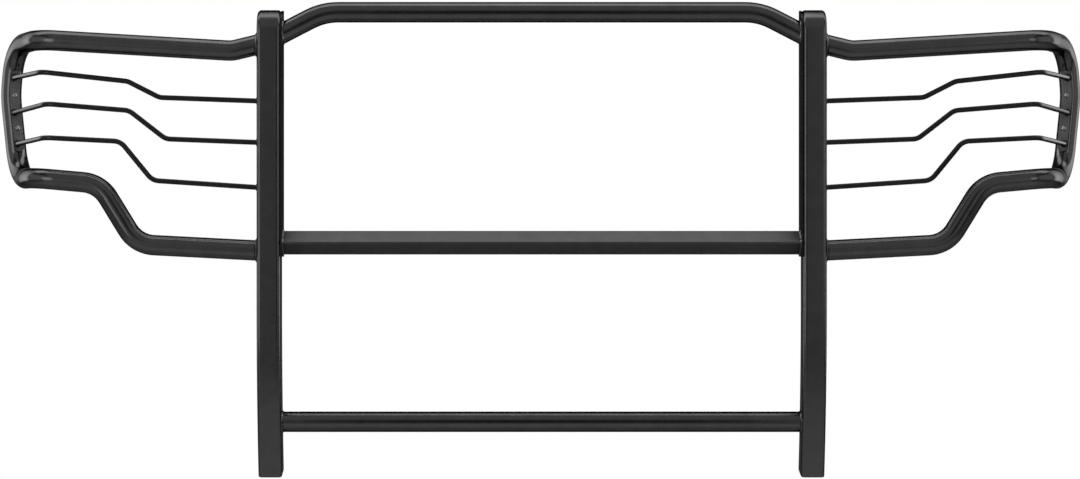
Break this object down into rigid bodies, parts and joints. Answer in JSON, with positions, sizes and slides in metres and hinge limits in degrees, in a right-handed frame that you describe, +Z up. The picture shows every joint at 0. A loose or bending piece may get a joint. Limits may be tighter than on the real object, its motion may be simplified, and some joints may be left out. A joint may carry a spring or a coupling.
{
  "type": "vehicle front grille guard",
  "caption": "Truck front grille guard of box-tube uprights, crossbars and wrap-round headlight hoops with cranked rods, bolted on through rear mounting plates.",
  "frame": {"origin": "centre of the rectangle of mounting holes, on the guard's centre plane, in the plane of the mounting plates' rear faces", "axes": "+X to the guard's right as seen from in front of it, +Y back towards the truck, +Z up"},
  "size_m": [2.0494, 0.152, 0.8835],
  "materials": {
    "box_tube_coat": "semi-gloss black powder coat on steel box tube",
    "round_tube_coat": "semi-gloss black powder coat on steel round tube",
    "rod_coat": "semi-gloss black powder coat on steel rod",
    "plate_coat": "semi-gloss black powder coat on steel plate",
    "screw_steel": "dark zinc-plated steel",
    "nut_steel": "plain zinc-plated steel"
  },
  "bodies": {
    "root": {"top_crossbar": "round_tube_coat", "middle_crossbar": "box_tube_coat", "lower_crossbar": "round_tube_coat", "left_upright": "box_tube_coat", "left_top_cap": "box_tube_coat", "left_foot_cap": "box_tube_coat", "left_side_plate": "plate_coat", "left_headlight_hoop": "round_tube_coat", "left_rod_strip": "plate_coat", "left_strip_screws": "screw_steel", "left_mount_arm": "box_tube_coat", "left_mount_plate": "plate_coat", "left_weld_nuts": "nut_steel", "left_upper_rod": "rod_coat", "left_middle_rod": "rod_coat", "left_lower_rod": "rod_coat", "right_upright": "box_tube_coat", "right_top_cap": "box_tube_coat", "right_foot_cap": "box_tube_coat", "right_side_plate": "plate_coat", "right_headlight_hoop": "round_tube_coat", "right_rod_strip": "plate_coat", "right_strip_screws": "screw_steel", "right_mount_arm": "box_tube_coat", "right_mount_plate": "plate_coat", "right_weld_nuts": "nut_steel", "right_upper_rod": "rod_coat", "right_middle_rod": "rod_coat", "right_lower_rod": "rod_coat"}
  },
  "joints": []
}
